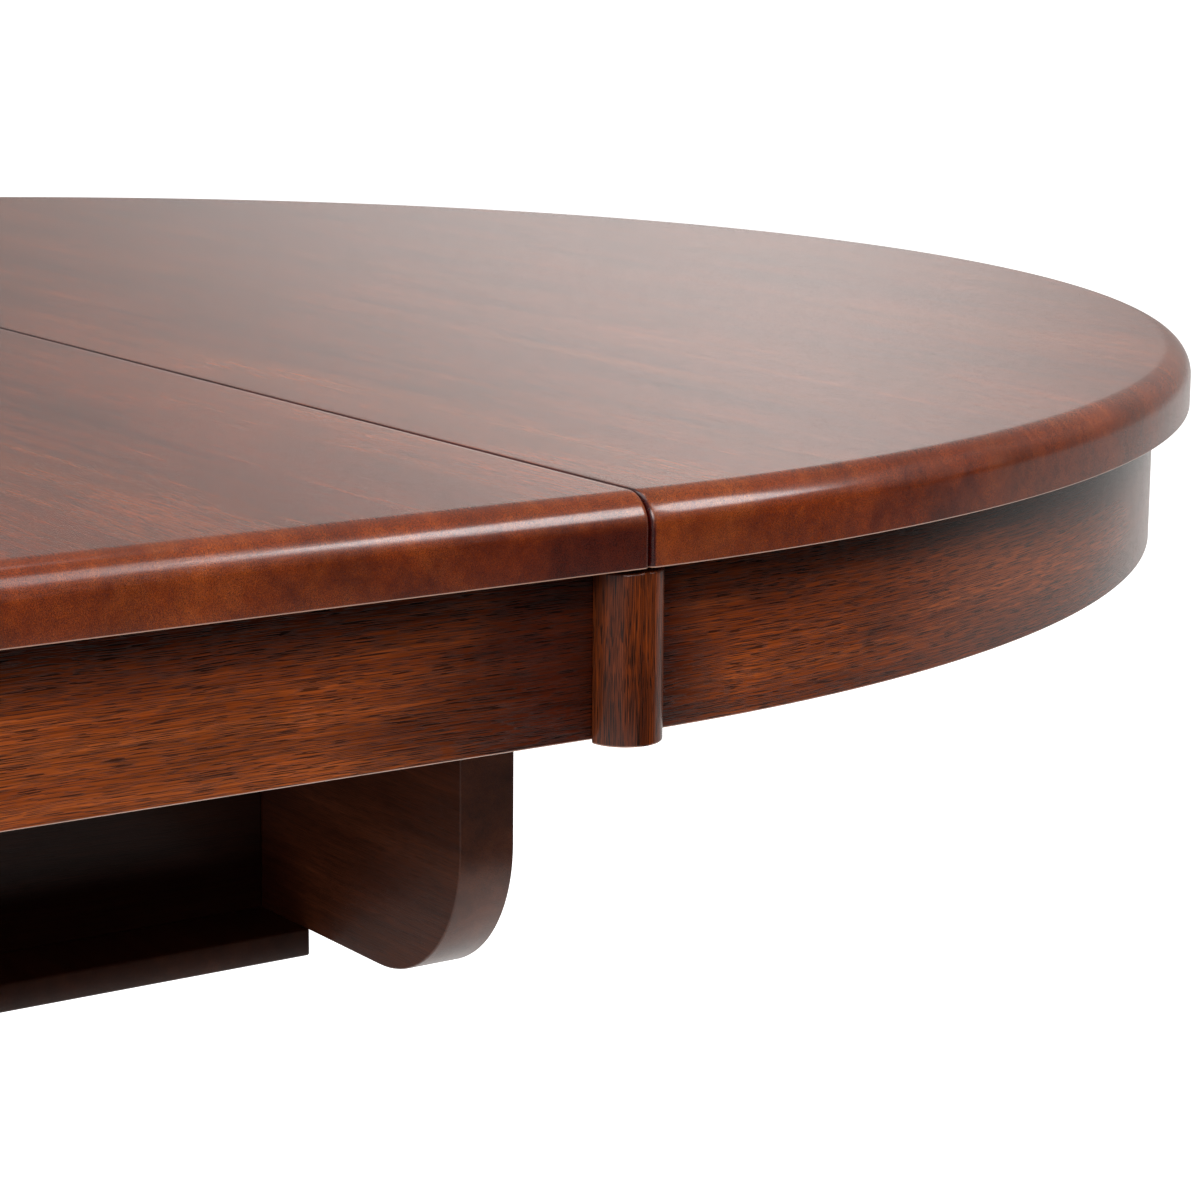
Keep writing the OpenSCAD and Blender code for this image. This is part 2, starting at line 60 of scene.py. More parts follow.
SEAM_X = TOP_LO[0]
TOP_RADIUS = TOP_HI[0] - TOP_LO[0]
TOP_Z = TOP_HI[2]
UNDER_Z = TOP_LO[2]
APRON_OUTER = TOP_RADIUS - (TOP_HI[0] - APRON_HI[0])
APRON_THICKNESS = LEAF_APRON_HI[1] - LEAF_APRON_LO[1]
POST_RADIUS = (POST_HI[0] - POST_LO[0]) / 2
PLATE_UNDER_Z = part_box("column_plate")[0][2]

# ---------------------------------------------------------------- roundings

EDGE_RADIUS = 12.7 * MM
LOWER_EASE = 0.8 * MM
SEAM_EASE = 1.3 * MM
SEAM_CORNER = 2.4 * MM
LEAF_APRON_EASE = 0.4 * MM
POST_EASE = 0.9 * MM
BOARD_EASE = 1.0 * MM
CROSS_EASE = 0.8 * MM
CROSS_CORNER = 62.5 * MM
CROSS_TOP_CORNER = 1.5 * MM
CAD_EASE = 0.8 * MM
# No corner is sharper than this, so that every outline keeps its number of points
LEAST_CORNER = 0.05 * MM
# Flat strip beside a rounding, so that the flat face beyond it shades flat
FLAT_MARGIN = 2.0 * MM
# An edge is sharp where its faces turn by more than this, in degrees
SHARP_ANGLE = 40.0


# ---------------------------------------------------------------- mesh tools

def piece(name, body, slot, replaced, verts, faces, material, sharp_angle=SHARP_ANGLE):
    """Makes one mesh piece that rides on a body and stands for CAD nodes."""
    mesh = bpy.data.meshes.new(name)
    mesh.from_pydata([tuple(v) for v in verts], [], faces)
    mesh.validate()
    bm = bmesh.new()
    bm.from_mesh(mesh)
    bmesh.ops.remove_doubles(bm, verts=bm.verts, dist=1e-6)
    bmesh.ops.recalc_face_normals(bm, faces=bm.faces)
    bm.to_mesh(mesh)
    bm.free()
    mesh.shade_smooth()
    mesh.set_sharp_from_angle(angle=radians(sharp_angle))
    obj = bpy.data.objects.new(name, mesh)
    bpy.context.scene.collection.objects.link(obj)
    mesh.materials.append(material)
    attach(obj, body)
    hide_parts(*replaced)
    return obj


def loft(outlines):
    """Verts and faces of a closed solid through outlines of equal length."""
    count = len(outlines[0])
    verts = [point for outline in outlines for point in outline]
    faces = []
    for level in range(len(outlines) - 1):
        a, b = level * count, (level + 1) * count
        for i in range(count):
            j = (i + 1) % count
            faces.append((a + i, a + j, b + j, b + i))
    last = (len(outlines) - 1) * count
    faces.append(tuple(reversed(range(count))))
    faces.append(tuple(range(last, last + count)))
    return verts, faces


def arc(cx, cy, radius, start, end, steps):
    """Points on an arc, angles in degrees."""
    angles = [radians(start + (end - start) * i / steps) for i in range(steps + 1)]
    return [(cx + radius * cos(a), cy + radius * sin(a)) for a in angles]


def bezier(controls, steps):
    """Points on a cubic curve through four control points."""
    points = []
    for i in range(steps + 1):
        t = i / steps
        weights = ((1 - t) ** 3, 3 * t * (1 - t) ** 2, 3 * t * t * (1 - t), t ** 3)
        points.append(tuple(sum(w * c[k] for w, c in zip(weights, controls)) for k in range(2)))
    return points


def rounded_rect(u0, u1, v0, v1, radii, steps=6):
    """Outline of a rectangle; radii go round from the low-low corner."""
    corners = ((u0, v0, 1, 1, 180), (u1, v0, -1, 1, 270), (u1, v1, -1, -1, 0), (u0, v1, 1, -1, 90))
    points = []
    for (u, v, side_u, side_v, start), radius in zip(corners, radii):
        radius = max(radius, LEAST_CORNER)
        points += arc(u + side_u * radius, v + side_v * radius, radius, start, start + 90, steps)
    return points


def ease_levels(low, high, ease, steps=3):
    """(position, inset) pairs from low to high with both arrises rounded."""
    turns = [radians(90 * i / steps) for i in range(steps + 1)]
    start = [(low + ease * (1 - cos(t)), ease * (1 - sin(t))) for t in turns]
    return start + [(high - (place - low), inset) for place, inset in reversed(start)]


def board(axis, box, radii, ease=BOARD_EASE, steps=6):
    """A board between the corners of a box, extruded along axis, with rounded outline corners."""
    lo, hi = box
    u, v = [i for i in range(3) if i != axis]
    outlines = []
    for place, inset in ease_levels(lo[axis], hi[axis], ease):
        ring = rounded_rect(lo[u] + inset, hi[u] - inset, lo[v] + inset, hi[v] - inset,
                            [radius - inset for radius in radii], steps)
        outline = []
        for across, up in ring:
            point = [0.0, 0.0, 0.0]
            point[axis], point[u], point[v] = place, across, up
            outline.append(point)
        outlines.append(outline)
    return loft(outlines)


def mirrored(verts, axis):
    """The same points on the other side of the table's middle plane."""
    return [tuple(-c if k == axis else c for k, c in enumerate(v)) for v in verts]


def turned(verts):
    """The same points turned half round the pedestal."""
    return [(-x, -y, z) for x, y, z in verts]


def set_grain(obj, rule):
    """Stores where each point lies in the wood: along the grain, across it, and in depth."""
    layer = obj.data.attributes.new("grain", "FLOAT_VECTOR", "POINT")
    for vertex, value in zip(obj.data.vertices, layer.data):
        value.vector = rule(vertex.co)


# ---------------------------------------------------------------- shader tools

class Signal:
    """What a node gives for each point: a number, which takes arithmetic, a vector or a colour."""

    def __init__(self, tree, socket):
        self.tree = tree
        self.socket = socket

    def __add__(self, other):
        return self.tree.math("ADD", self, other)

    def __sub__(self, other):
        return self.tree.math("SUBTRACT", self, other)

    def __rsub__(self, other):
        return self.tree.math("SUBTRACT", other, self)

    def __mul__(self, other):
        return self.tree.math("MULTIPLY", self, other)

    def __abs__(self):
        return self.tree.math("ABSOLUTE", self)

    def or_more(self, other):
        """The larger of two numbers."""
        return self.tree.math("MAXIMUM", self, other)

    def fade(self, low, high, start=0.0, end=1.0):
        """start before low, end past high, smooth between; low may be the larger of the two."""
        made = self.tree.node("MapRange", interpolation_type="SMOOTHSTEP")
        names = ("Value", "From Min", "From Max", "To Min", "To Max")
        for name, value in zip(names, (self, low, high, start, end)):
            self.tree.put(value, made.inputs[name])
        return Signal(self.tree, made.outputs["Result"])


class NodeTree:
    """A node tree under construction, with short calls for its nodes."""

    def __init__(self, tree):
        self.nodes = tree.nodes
        self.links = tree.links

    def node(self, kind, **settings):
        """A new node with these settings."""
        made = self.nodes.new("ShaderNode" + kind)
        for key, value in settings.items():
            setattr(made, key, value)
        return made

    def put(self, value, socket):
        """Feeds a socket with a signal or a plain value; a colour is three numbers."""
        if isinstance(value, Signal):
            self.links.new(value.socket, socket)
        elif socket.type == "RGBA":
            socket.default_value = (*value, 1.0)
        else:
            socket.default_value = value

    def math(self, operation, *values):
        """A number worked out from one or two others."""
        made = self.node("Math", operation=operation)
        for value, socket in zip(values, made.inputs):
            self.put(value, socket)
        return Signal(self, made.outputs[0])

    def parts(self, vector):
        """The X, Y and Z of a vector."""
        made = self.node("SeparateXYZ")
        self.put(vector, made.inputs[0])
        return [Signal(self, socket) for socket in made.outputs]

    def vector(self, *values):
        """A vector of three numbers."""
        made = self.node("CombineXYZ")
        for value, socket in zip(values, made.inputs):
            self.put(value, socket)
        return Signal(self, made.outputs[0])

    def coordinates(self, kind="Object"):
        """Where the point lies."""
        return Signal(self, self.node("TexCoord").outputs[kind])


class Shader(NodeTree):
    """A material under construction; shift moves its noises, so that two materials differ."""

    def __init__(self, name, shift=0.0):
        self.material = bpy.data.materials.new(name)
        self.material.use_nodes = True
        super().__init__(self.material.node_tree)
        self.bsdf = self.nodes["Principled BSDF"]
        self.offset = (shift, shift * 0.7, shift * 1.3)

    def surface(self, values):
        """Feeds the named sockets of the material's own shader."""
        for name, value in values.items():
            self.put(value, self.bsdf.inputs[name])

    def noise(self, vector, scale, detail=2.0, roughness=0.5, distortion=0.0):
        """Soft noise; scale is how often it changes per metre on each axis."""
        mapping = self.node("Mapping")
        self.put(scale, mapping.inputs["Scale"])
        self.put(self.offset, mapping.inputs["Location"])
        self.put(vector, mapping.inputs["Vector"])
        made = self.node("TexNoise")
        names = ("Vector", "Scale", "Detail", "Roughness", "Distortion")
        mapped = Signal(self, mapping.outputs[0])
        for name, value in zip(names, (mapped, 1.0, detail, roughness, distortion)):
            self.put(value, made.inputs[name])
        return Signal(self, made.outputs["Fac"])

    def shifted(self, vector, amount):
        """The vector with the same amount added across the grain both ways."""
        made = self.node("VectorMath", operation="ADD")
        self.put(vector, made.inputs[0])
        self.put(self.vector(0.0, amount, amount), made.inputs[1])
        return Signal(self, made.outputs[0])

    def ramp(self, factor, stops):
        """A colour picked by a number from (place, colour) stops."""
        made = self.node("ValToRGB")
        elements = made.color_ramp.elements
        while len(elements) < len(stops):
            elements.new(0.5)
        for element, (place, colour) in zip(elements, stops):
            element.position = place
            element.color = (*colour, 1.0)
        self.put(factor, made.inputs["Fac"])
        return Signal(self, made.outputs["Color"])

    def mix(self, factor, first, second, blend="MIX"):
        """Two colours mixed by a number."""
        made = self.node("Mix", data_type="RGBA", blend_type=blend)
        factor_socket, first_socket, second_socket = made.inputs[0], made.inputs[6], made.inputs[7]
        self.put(factor, factor_socket)
        self.put(first, first_socket)
        self.put(second, second_socket)
        return Signal(self, made.outputs[2])

    def varied(self, colour, factor, reach, darker, lighter):
        """The colour made darker where the factor is reach under a half, lighter above it."""
        stops = ((0.5 - reach, (1 - darker,) * 3), (0.5 + reach, (1 + lighter,) * 3))
        return self.mix(1.0, colour, self.ramp(factor, stops), "MULTIPLY")

    def bump(self, height, distance):
        """A normal tilted by a height from 0 to 1 over a distance in metres."""
        made = self.node("Bump")
        self.put(distance, made.inputs["Distance"])
        self.put(1.0, made.inputs["Strength"])
        self.put(height, made.inputs["Height"])
        return Signal(self, made.outputs["Normal"])


# ---------------------------------------------------------------- wood

# How often each layer of the wood changes per metre: along the grain, across it and in depth
WAVES = (9, 16, 16)
BROAD_FIGURE = (1.1, 15, 15)
BANDS = (3.0, 150, 150)
FIBRES = (26, 2000, 2000)
BLOTCHES = (9, 26, 26)
PORES = (95, 4000, 4000)
PORE_ROWS = (5, 90, 90)
ORANGE_PEEL = (190, 260, 260)

PORE_DEPTH = 0.05 * MM
WAVE_SWAY = 4.0 * MM
# Dark glaze colour: a real glaze on the posts, and on the aprons also painted shade under the
# overhang and beside the posts
DARK_GLAZE_AND_SHADE = (0.16, 0.10, 0.09)
# Red darkening of the top's moulded edge, and painted shade inside the seams
RED_TONE_AND_SEAM_SHADE = (0.20, 0.03, 0.03)
# Pale colour of a painted highlight on the lower arrises, standing in for the floor's reflection
ARRIS_HIGHLIGHT = (0.50, 0.26, 0.17)


def grain_vector(shader, along):
    """The wood's own coordinates: X runs with the grain."""
    if along == "grain":
        return Signal(shader, shader.node("Attribute", attribute_name="grain").outputs["Vector"])
    coords = shader.coordinates()
    if along == "X":
        return coords
    x, y, z = shader.parts(coords)
    return shader.vector(y, x, z) if along == "Y" else shader.vector(z, x, y)


def wood(name, along, tones, pore_colour, pores=0.6, figure=0.16, streak=0.35, mottle=0.25,
         coat=1.0, coat_roughness=0.14, roughness=0.45, shift=0.0, toning_and_shade=None, glaze=DARK_GLAZE_AND_SHADE):
    """Stained open-pored wood under lacquer.

    tones are three colours, dark to light. The broad figure picks between them, fine fibres
    and mottling vary them, and short dark pores lie along the grain. The mask function, when
    given, darkens the colour toward the glaze colour, partly real glaze and partly painted
    shade under overhangs and in seams, and adds a painted highlight along the lower arrises.
    """
    shader = Shader(name, shift)
    vector = grain_vector(shader, along)
    sway = (shader.noise(vector, WAVES) - 0.5) * WAVE_SWAY
    vector = shader.shifted(vector, sway)
    broad = shader.noise(vector, BROAD_FIGURE, 4.0, 0.55, 0.9)
    bands = shader.noise(vector, BANDS, 4.0, 0.65, 0.2)
    fibres = shader.noise(vector, FIBRES, 3.0, 0.65)
    blotch = shader.noise(vector, BLOTCHES, 3.0, 0.55, 0.4)
    rows = shader.noise(vector, PORE_ROWS)
    pore = (shader.noise(vector, PORES, 0.0) - rows * 0.2).fade(0.45, 0.50)
    peel = shader.noise(vector, ORANGE_PEEL)
    stops = ((0.5 - figure, tones[0]), (0.5, tones[1]), (0.5 + figure, tones[2]))
    colour = shader.ramp(broad * 0.55 + bands * 0.45, stops)
    colour = shader.varied(colour, fibres, 0.20, streak, streak * 0.6)
    colour = shader.varied(colour, blotch, 0.18, mottle, mottle * 0.7)
    colour = shader.mix(pore * pores, colour, pore_colour)
    if toning_and_shade:
        # Darkening toward the glaze colour by the mask: partly real glaze, partly painted shade under
        # the overhang and in the seams
        colour = shader.mix(toning_and_shade(shader, blotch), colour, glaze, "MULTIPLY")
        # Painted highlight: a pale line on the lower arrises in place of the floor's reflection
        colour = shader.mix(painted_arris_highlight(shader), colour, ARRIS_HIGHLIGHT)
    shader.surface({
        "Base Color": colour,
        "Roughness": fibres * 0.12 + (roughness - 0.06),
        "Specular IOR Level": 0.06,
        "Normal": shader.bump(fibres * 0.35 - pore, PORE_DEPTH),
        "Coat Weight": coat,
        "Coat Roughness": coat_roughness,
        "Coat IOR": 1.5,
        "Coat Normal": shader.bump(peel * 0.9 - pore * 0.7, PORE_DEPTH * 0.4),
    })
    return shader.material


def position(shader):
    """Height of the point, and how far it lies from the nearer seam plane toward the leaf."""
    x, _, z = shader.parts(shader.coordinates())
    return z, SEAM_X - abs(x)


def painted_arris_highlight(shader):
    """Where a lower arris turns down, for a painted highlight that stands in for the floor's
    reflection.
    """
    normal = Signal(shader, shader.node("NewGeometry").outputs["Normal"])
    upward = shader.parts(normal)[2]
    return upward.fade(-0.25, -0.55) * upward.fade(-0.98, -0.90)


def apron_shade_and_toning(shader, blotch):
    """Painted shadow under the overhang; darker beside the seam posts, wider on the leaf's side, part
    glaze and part painted shade; a little darker toward the bottom.
    """
    z, inside = position(shader)
    wander = (blotch - 0.5) * (60 * MM)
    # Painted shadow of the top's overhang
    under = (z - UNDER_Z + wander).fade(-44 * MM, -8 * MM)
    # Beside the posts: part glaze, part painted shade where post and apron meet
    leaf_side = (inside + wander).fade(165 * MM, 40 * MM)
    round_side = (inside + wander * 0.5).fade(-70 * MM, -10 * MM)
    low = (z + wander).fade(APRON_LO[2] + 50 * MM, APRON_LO[2])
    edges = (under * 0.85).or_more(low * 0.28)
    return edges.or_more(leaf_side * round_side)


def post_toning(shader, blotch):
    """An even dark glaze over the posts."""
    return blotch.fade(0.2, 0.7) * 0.86


def top_edge_darkening_and_seam_shade(shader, blotch):
    """Darker on the moulded edge, heavier toward the seams; painted shade inside the seams and on the
    arrises beside them.
    """
    z, inside = position(shader)
    edge = z.fade(TOP_Z - 4 * MM, TOP_Z - 14 * MM)
    leaf_side = (inside + blotch * (80 * MM)).fade(190 * MM, 50 * MM)
    beside = leaf_side * inside.fade(-2 * MM, 2 * MM)
    moulding = edge * (beside * 0.62 + 0.24)
    # Painted shade inside the seam gap and on the eased arrises beside it
    gap = abs(inside)
    edge_gap = edge * gap.fade(2.2 * MM, 1.3 * MM)
    return moulding.or_more(edge_gap.or_more(gap.fade(1.3 * MM, 0.7 * MM)))


# ---------------------------------------------------------------- metal and plastic

# How often each layer changes per metre on the three axes
DRAWN_LINES = (40, 900, 900)
DULL_PATCHES = (45, 45, 45)
STIPPLE = (1400, 1400, 1400)
WEAR = (60, 60, 60)


def metal(name, colour, roughness):
    """Plain rolled or turned metal with fine drawing lines and dull patches."""
    shader = Shader(name)
    coords = shader.coordinates()
    lines = shader.noise(coords, DRAWN_LINES)
    patches = shader.noise(coords, DULL_PATCHES, 4.0, 0.6)
    shader.surface({
        "Base Color": shader.ramp(patches, ((0.3, [c * 0.72 for c in colour]), (0.7, colour))),
        "Roughness": patches * 0.22 + (roughness - 0.11) + lines * 0.08,
        "Metallic": 1.0,
        "Normal": shader.bump(lines, 0.02 * MM),
    })
    return shader.material


def moulded(name, colour):
    """Matte moulded plastic with a fine stipple."""
    shader = Shader(name)
    coords = shader.coordinates()
    stipple = shader.noise(coords, STIPPLE, 1.0)
    wear = shader.noise(coords, WEAR, 3.0)
    shader.surface({
        "Base Color": shader.ramp(wear, ((0.3, colour), (0.8, [c * 1.7 for c in colour]))),
        "Roughness": wear * 0.2 + 0.5,
        "Normal": shader.bump(stipple, 0.03 * MM),
    })
    return shader.material


# ---------------------------------------------------------------- materials

TOP_TONES = ((0.12, 0.014, 0.002), (0.225, 0.036, 0.004), (0.34, 0.070, 0.009))
APRON_TONES = ((0.10, 0.015, 0.002), (0.26, 0.049, 0.007), (0.43, 0.099, 0.018))
# Darker copy of the frame's tones for the boards inside the box: painted shade
SHADED_BOX_TONES = ((0.028, 0.006, 0.002), (0.045, 0.011, 0.004), (0.070, 0.018, 0.006))
FRAME_TONES = ((0.072, 0.018, 0.008), (0.120, 0.032, 0.013), (0.175, 0.050, 0.020))
RAIL_TONES = ((0.36, 0.21, 0.10), (0.47, 0.29, 0.15), (0.56, 0.37, 0.20))
DARK_PORE = (0.016, 0.006, 0.003)
RED_PORE = (0.03, 0.009, 0.005)
RAIL_PORE = (0.2, 0.1, 0.05)


def rail_wood(along, shift):
    """Pale unstained wood for the parts of the slide, with its grain along one axis."""
    return wood(f"rail_wood_{along.lower()}", along, RAIL_TONES, RAIL_PORE, pores=0.35,
                streak=0.2, coat=0.15, roughness=0.5, shift=shift)


top_wood = wood("top_veneer", "grain", TOP_TONES, RED_PORE, pores=0.7, mottle=0.24, figure=0.18,
                streak=0.5, coat_roughness=0.19, toning_and_shade=top_edge_darkening_and_seam_shade, glaze=RED_TONE_AND_SEAM_SHADE)
apron_wood = wood("apron_veneer", "grain", APRON_TONES, DARK_PORE, pores=0.8, streak=0.62,
                  coat_roughness=0.2, shift=3.1, toning_and_shade=apron_shade_and_toning)
post_wood = wood("post_wood", "grain", APRON_TONES, DARK_PORE, pores=0.85, streak=0.6,
                 coat_roughness=0.2, shift=7.7, toning_and_shade=post_toning)
turned_wood = wood("turned_wood", "grain", TOP_TONES, DARK_PORE, pores=0.5, coat_roughness=0.2,
                   shift=5.2)
frame_wood = wood("frame_wood", "grain", FRAME_TONES, DARK_PORE, pores=0.4, coat=0.7,
                  coat_roughness=0.28, shift=11.0)
# Shaded copy of the frame wood, for the boards inside the box: painted shade
shaded_box_wood = wood("shaded_box_wood", "grain", SHADED_BOX_TONES, DARK_PORE, pores=0.4, coat=0.6,
                coat_roughness=0.3, shift=8.2)
block_wood = wood("block_wood", "X", FRAME_TONES, DARK_PORE, pores=0.3, coat=0.2, shift=1.9)
rail_wood_x = rail_wood("X", 2.3)
rail_wood_y = rail_wood("Y", 4.1)
rail_wood_z = rail_wood("Z", 6.4)
steel = metal("rolled_steel", (0.55, 0.56, 0.58), 0.36)
brass = metal("plain_brass", (0.72, 0.52, 0.22), 0.30)
dark_plastic = moulded("dark_plastic", (0.03, 0.03, 0.033))


# ---------------------------------------------------------------- tops

def top_levels():
    """(height, edge inset, seam inset) up through the thickness of the top."""
    levels = [(UNDER_Z, LOWER_EASE + FLAT_MARGIN, FLAT_MARGIN)]
    for height, inset in ease_levels(UNDER_Z, TOP_Z, LOWER_EASE)[:4]:
        levels.append((height, inset, 0.4 * inset))
    for out, height in arc(0, TOP_Z - EDGE_RADIUS, EDGE_RADIUS, 0, 90, 24):
        rise = min(1.0, max(0.0, height - (TOP_Z - SEAM_EASE)) / SEAM_EASE)
        levels.append((height, EDGE_RADIUS - out, SEAM_EASE * (1 - sqrt(1 - rise ** 2))))
    levels.append((TOP_Z, EDGE_RADIUS + FLAT_MARGIN, SEAM_EASE + FLAT_MARGIN))
    return levels


def half_round_outline(radius, x0):
    """A half-disc round the seam's middle, its straight side at x0, with eased corners."""
    corner_x = x0 + SEAM_CORNER
    reach = radius - SEAM_CORNER
    corner_y = sqrt(reach ** 2 - (corner_x - SEAM_X) ** 2)
    lean = degrees(asin((corner_x - SEAM_X) / reach))
    points = arc(corner_x, -corner_y, SEAM_CORNER, 180, 270 + lean, 5)
    points += arc(SEAM_X, 0, radius, -90 + lean, 90 - lean, 240)[1:-1]
    points += arc(corner_x, corner_y, SEAM_CORNER, 90 - lean, 180, 5)
    return points


def half_top(name, body, node, flip):
    """One half-round top; the left one is the right one turned half round."""
    outlines = [[(x, y, z) for x, y in half_round_outline(TOP_RADIUS - edge, SEAM_X + seam)]
                for z, edge, seam in top_levels()]
    verts, faces = loft(outlines)
    obj = piece(name, body, "mahogany_top", [node], turned(verts) if flip else verts, faces,
                top_wood)
    set_grain(obj, lambda co: (co.y, co.x, co.z))


def leaf():
    """The straight leaf; its grain starts elsewhere, so that it isn't the halves' own figure."""
    outlines = []
    for z, edge, seam in top_levels():
        ring = rounded_rect(LEAF_LO[0] + seam, LEAF_HI[0] - seam,
                            LEAF_LO[1] + edge, LEAF_HI[1] - edge, [SEAM_CORNER] * 4)
        outlines.append([(x, y, z) for x, y in ring])
    obj = piece("leaf", "pedestal", "mahogany_top", ["leaf_panel"], *loft(outlines), top_wood)
    set_grain(obj, lambda co: (co.y + 0.37, co.x + 2.0, co.z))


half_top("right_half_top", "right_half", "half_top_right", False)
half_top("left_half_top", "left_half", "half_top_left", True)
leaf()


# ---------------------------------------------------------------- aprons and posts

def bent_outline(inset, steps=160):
    """The bent apron from above, seam to seam."""
    outer = arc(SEAM_X, 0, APRON_OUTER - inset, -90, 90, steps)
    inner = arc(SEAM_X, 0, APRON_OUTER - APRON_THICKNESS + inset, 90, -90, steps)
    return outer + inner


def bent_apron(name, body, node, flip):
    """The apron round one half, with its grain along the bend."""
    outlines = [[(x, y, z) for x, y in bent_outline(inset)]
                for z, inset in ease_levels(APRON_LO[2], APRON_HI[2], LOWER_EASE)]
    verts, faces = loft(outlines)
    obj = piece(name, body, "mahogany_apron", [node], turned(verts) if flip else verts, faces,
                apron_wood)
    side = -1 if flip else 1

    def along(co):
        x, y = side * co.x - SEAM_X, side * co.y
        return (APRON_OUTER * atan2(y, max(x, 1e-9)), co.z + side, sqrt(x * x + y * y))

    set_grain(obj, along)


def leaf_apron(name, node, flip):
    """The straight apron on one side of the leaf."""
    verts, faces = board(0, (LEAF_APRON_LO, LEAF_APRON_HI), [LOWER_EASE] * 4, LEAF_APRON_EASE)
    obj = piece(name, "pedestal", "mahogany_apron", [node],
                mirrored(verts, 1) if flip else verts, faces, apron_wood)
    set_grain(obj, lambda co: (co.x + 4.0, co.z, co.y))


def seam_post(name, body, node, flip_x, flip_y):
    """Half-round post; its back is flat on the fixed side and just clear on the other."""
    clear = 0.5 * MM
    outlines = []
    for z, inset in ease_levels(POST_LO[2], POST_HI[2], POST_EASE):
        radius = POST_RADIUS - inset
        ring = arc(SEAM_X, -APRON_OUTER - clear, radius, 180, 360, 48)
        ring += [(SEAM_X + radius, -APRON_OUTER), (SEAM_X, -APRON_OUTER),
                 (SEAM_X, -APRON_OUTER - clear)]
        outlines.append([(x, max(y, POST_LO[1]), z) for x, y in ring])
    verts, faces = loft(outlines)
    if flip_x:
        verts = [(x - 2 * SEAM_X, y, z) for x, y, z in verts]
    if flip_y:
        verts = mirrored(verts, 1)
    obj = piece(name, body, "mahogany_apron", [node], verts, faces, post_wood)
    offset = 3.0 * flip_x + 1.7 * flip_y
    set_grain(obj, lambda co: (co.z + offset, co.x + offset, co.y))


bent_apron("right_bent_apron", "right_half", "bent_apron_right", False)
bent_apron("left_bent_apron", "left_half", "bent_apron_left", True)
leaf_apron("front_leaf_apron", "leaf_apron_front", False)
leaf_apron("rear_leaf_apron", "leaf_apron_rear", True)
for side_name, post_body, flip_x in (("right", "right_half", False), ("left", "pedestal", True)):
    for end_name, flip_y in (("front", False), ("rear", True)):
        seam_post(f"post_{side_name}_{end_name}", post_body,
                  f"seam_post_{side_name}_{end_name}", flip_x, flip_y)


# ---------------------------------------------------------------- underframe

def cross_board(name, node, flip):
    """A board across the box's end, with large round lower corners."""
    radii = [CROSS_CORNER, CROSS_CORNER, CROSS_TOP_CORNER, CROSS_TOP_CORNER]
    verts, faces = board(0, (CROSS_LO, CROSS_HI), radii, CROSS_EASE, 24)
    obj = piece(name, "pedestal", "frame_wood", [node], mirrored(verts, 0) if flip else verts,
                faces, frame_wood)
    set_grain(obj, lambda co: (co.y, co.z, co.x))


def frame_board(name, node, axis, grain, material=shaded_box_wood, reach=0.0):
    """A plain board, axis through its thickness; reach carries its ends under the cross boards."""
    lo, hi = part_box(node)
    lo.x -= reach
    hi.x += reach
    verts, faces = board(axis, (lo, hi), [BOARD_EASE] * 4)
    obj = piece(name, "pedestal", "frame_wood", [node], verts, faces, material)
    set_grain(obj, grain)


cross_board("right_cross_board", "cross_board_right", False)
cross_board("left_cross_board", "cross_board_left", True)
frame_board("front_side_board", "side_board_front", 1, lambda co: (co.x, co.z, co.y))
frame_board("rear_side_board", "side_board_rear", 1, lambda co: (co.x, co.z + 2, co.y))
frame_board("frame_bottom_panel", "bottom_panel", 2, lambda co: (co.y, co.x, co.z),
            reach=1.6 * MM)
frame_board("pedestal_top_plate", "column_plate", 2, lambda co: (co.y, co.x + 3, co.z),
            frame_wood)


# ---------------------------------------------------------------- pedestal, sizes in mm

HUB_RADIUS = 66.0
HUB_TOP = 246.0
HUB_EASE = 4.0
COLUMN_FOOT = COLUMN_LO[2] / MM
COLUMN_HEAD = PLATE_UNDER_Z / MM
HEAD_RADIUS = COLUMN_HI[0] / MM

# Half the thickness at the hub, and how much of it is gone at the toe
FOOT_HALF = 23.0
FOOT_TAPER = 4.0
FOOT_REACH = FOOT_HI[0] / MM * sqrt(2) - FOOT_HALF
FOOT_TOP = FOOT_HI[2] / MM
SOLE_Z = FOOT_LO[2] / MM
SOLE_START = FOOT_REACH - 56
TOE_START = FOOT_REACH - 8
TOE_TOP = 46.0
FOOT_STEPS = 40
TOE_STEPS = 8


def lathe(profile, segments=96):
    """Verts and faces of a profile of (radius, height) turned round Z, closed at both ends."""
    rings = [[(r * cos(2 * pi * i / segments), r * sin(2 * pi * i / segments), z)
              for i in range(segments)] for r, z in profile]
    return loft(rings)


def column_profile():
    """(radius, height) up the turned column."""
    inner = HUB_RADIUS - HUB_EASE
    hub = arc(inner, COLUMN_FOOT + HUB_EASE, HUB_EASE, -90, 0, 4)
    hub += arc(inner, HUB_TOP - HUB_EASE, HUB_EASE, 0, 90, 4)
    bead = bezier([(52, 250), (62, 254), (62, 266), (52, 270)], 14)
    vase = bezier([(46, 274), (30, 284), (67, 318), (62, 354)], 30)
    neck = bezier([(62, 354), (57, 390), (34, 410), (34, 432)], 26)[1:]
    collar = bezier([(44, 436), (52, 438), (52, 450), (44, 452)], 12)
    flare = bezier([(38, 456), (38, 474), (50, 488), (HEAD_RADIUS - 0.5, 488)], 20)
    head = [(HEAD_RADIUS, 489), (HEAD_RADIUS, COLUMN_HEAD)]
    return [(inner - 2, COLUMN_FOOT)] + hub + bead + vase + neck + collar + flare + head


def column():
    """The turned column under the plate."""
    verts, faces = lathe([(radius * MM, z * MM) for radius, z in column_profile()])
    obj = piece("turned_column", "pedestal", "mahogany_top", ["column"], verts, faces,
                turned_wood, 25.0)
    set_grain(obj, lambda co: (co.z, co.x, co.y))


